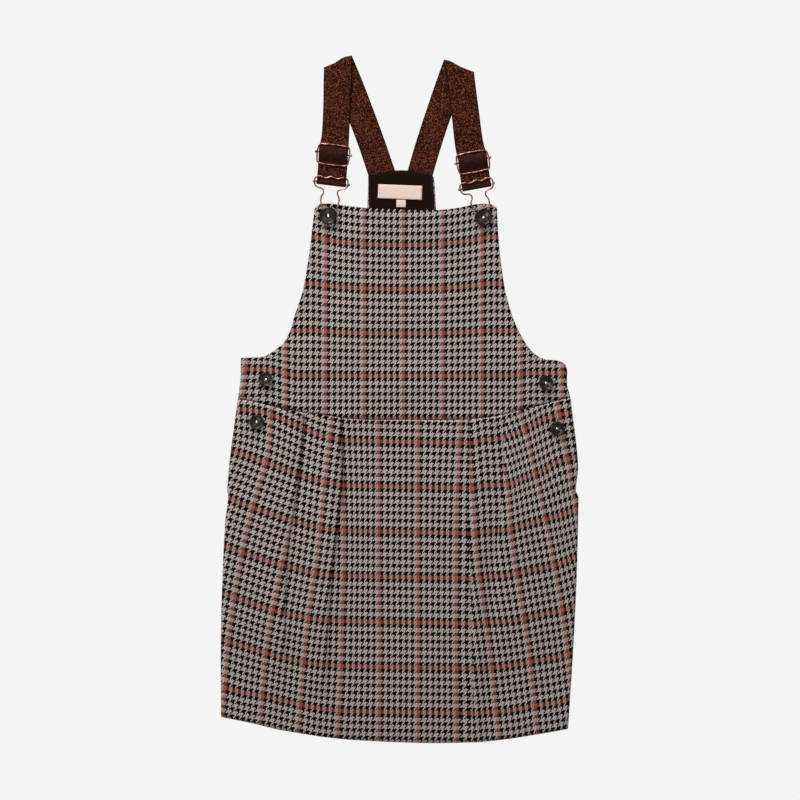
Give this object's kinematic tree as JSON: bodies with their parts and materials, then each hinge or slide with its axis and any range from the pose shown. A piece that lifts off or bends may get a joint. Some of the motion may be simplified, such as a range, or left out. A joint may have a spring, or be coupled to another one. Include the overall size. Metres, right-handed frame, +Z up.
{
  "type": "pinafore dress",
  "caption": "Child's houndstooth pinafore dress with buckled shoulder straps, bib, curved waist seam and pleated skirt, laid flat on its back.",
  "frame": {"origin": "on the surface that the dress lies on, under the middle of its outline", "axes": "+Y towards the shoulders, +X to the right seen from above, +Z up from the surface through the back panels to the front"},
  "size_m": [0.3399, 0.6526, 0.0081],
  "materials": {
    "cloth": "brushed wool-look twill in houndstooth with a rust overcheck",
    "back_cloth": "brushed wool-look twill in houndstooth with a rust overcheck",
    "facing": "matt black woven facing",
    "label": "satin woven tape",
    "elastic": "brown woven elastic with copper glitter yarn",
    "copper": "polished rose-gold plating",
    "button": "polished marbled horn look"
  },
  "bodies": {
    "root": {"bodice_back": "back_cloth", "skirt_back": "back_cloth", "yoke_facing": "facing", "label_main": "label", "label_size": "label", "bodice_front": "cloth", "skirt_front": "cloth", "strap_left": "elastic", "slider_left": "copper", "clip_bar_left": "copper", "clip_wire_left": "copper", "strap_right": "elastic", "slider_right": "copper", "clip_bar_right": "copper", "clip_wire_right": "copper", "bib_button_left": "button", "bib_button_right": "button", "side_button_upper_left": "button", "side_button_upper_right": "button", "side_button_lower_left": "button", "side_button_lower_right": "button"}
  },
  "joints": []
}
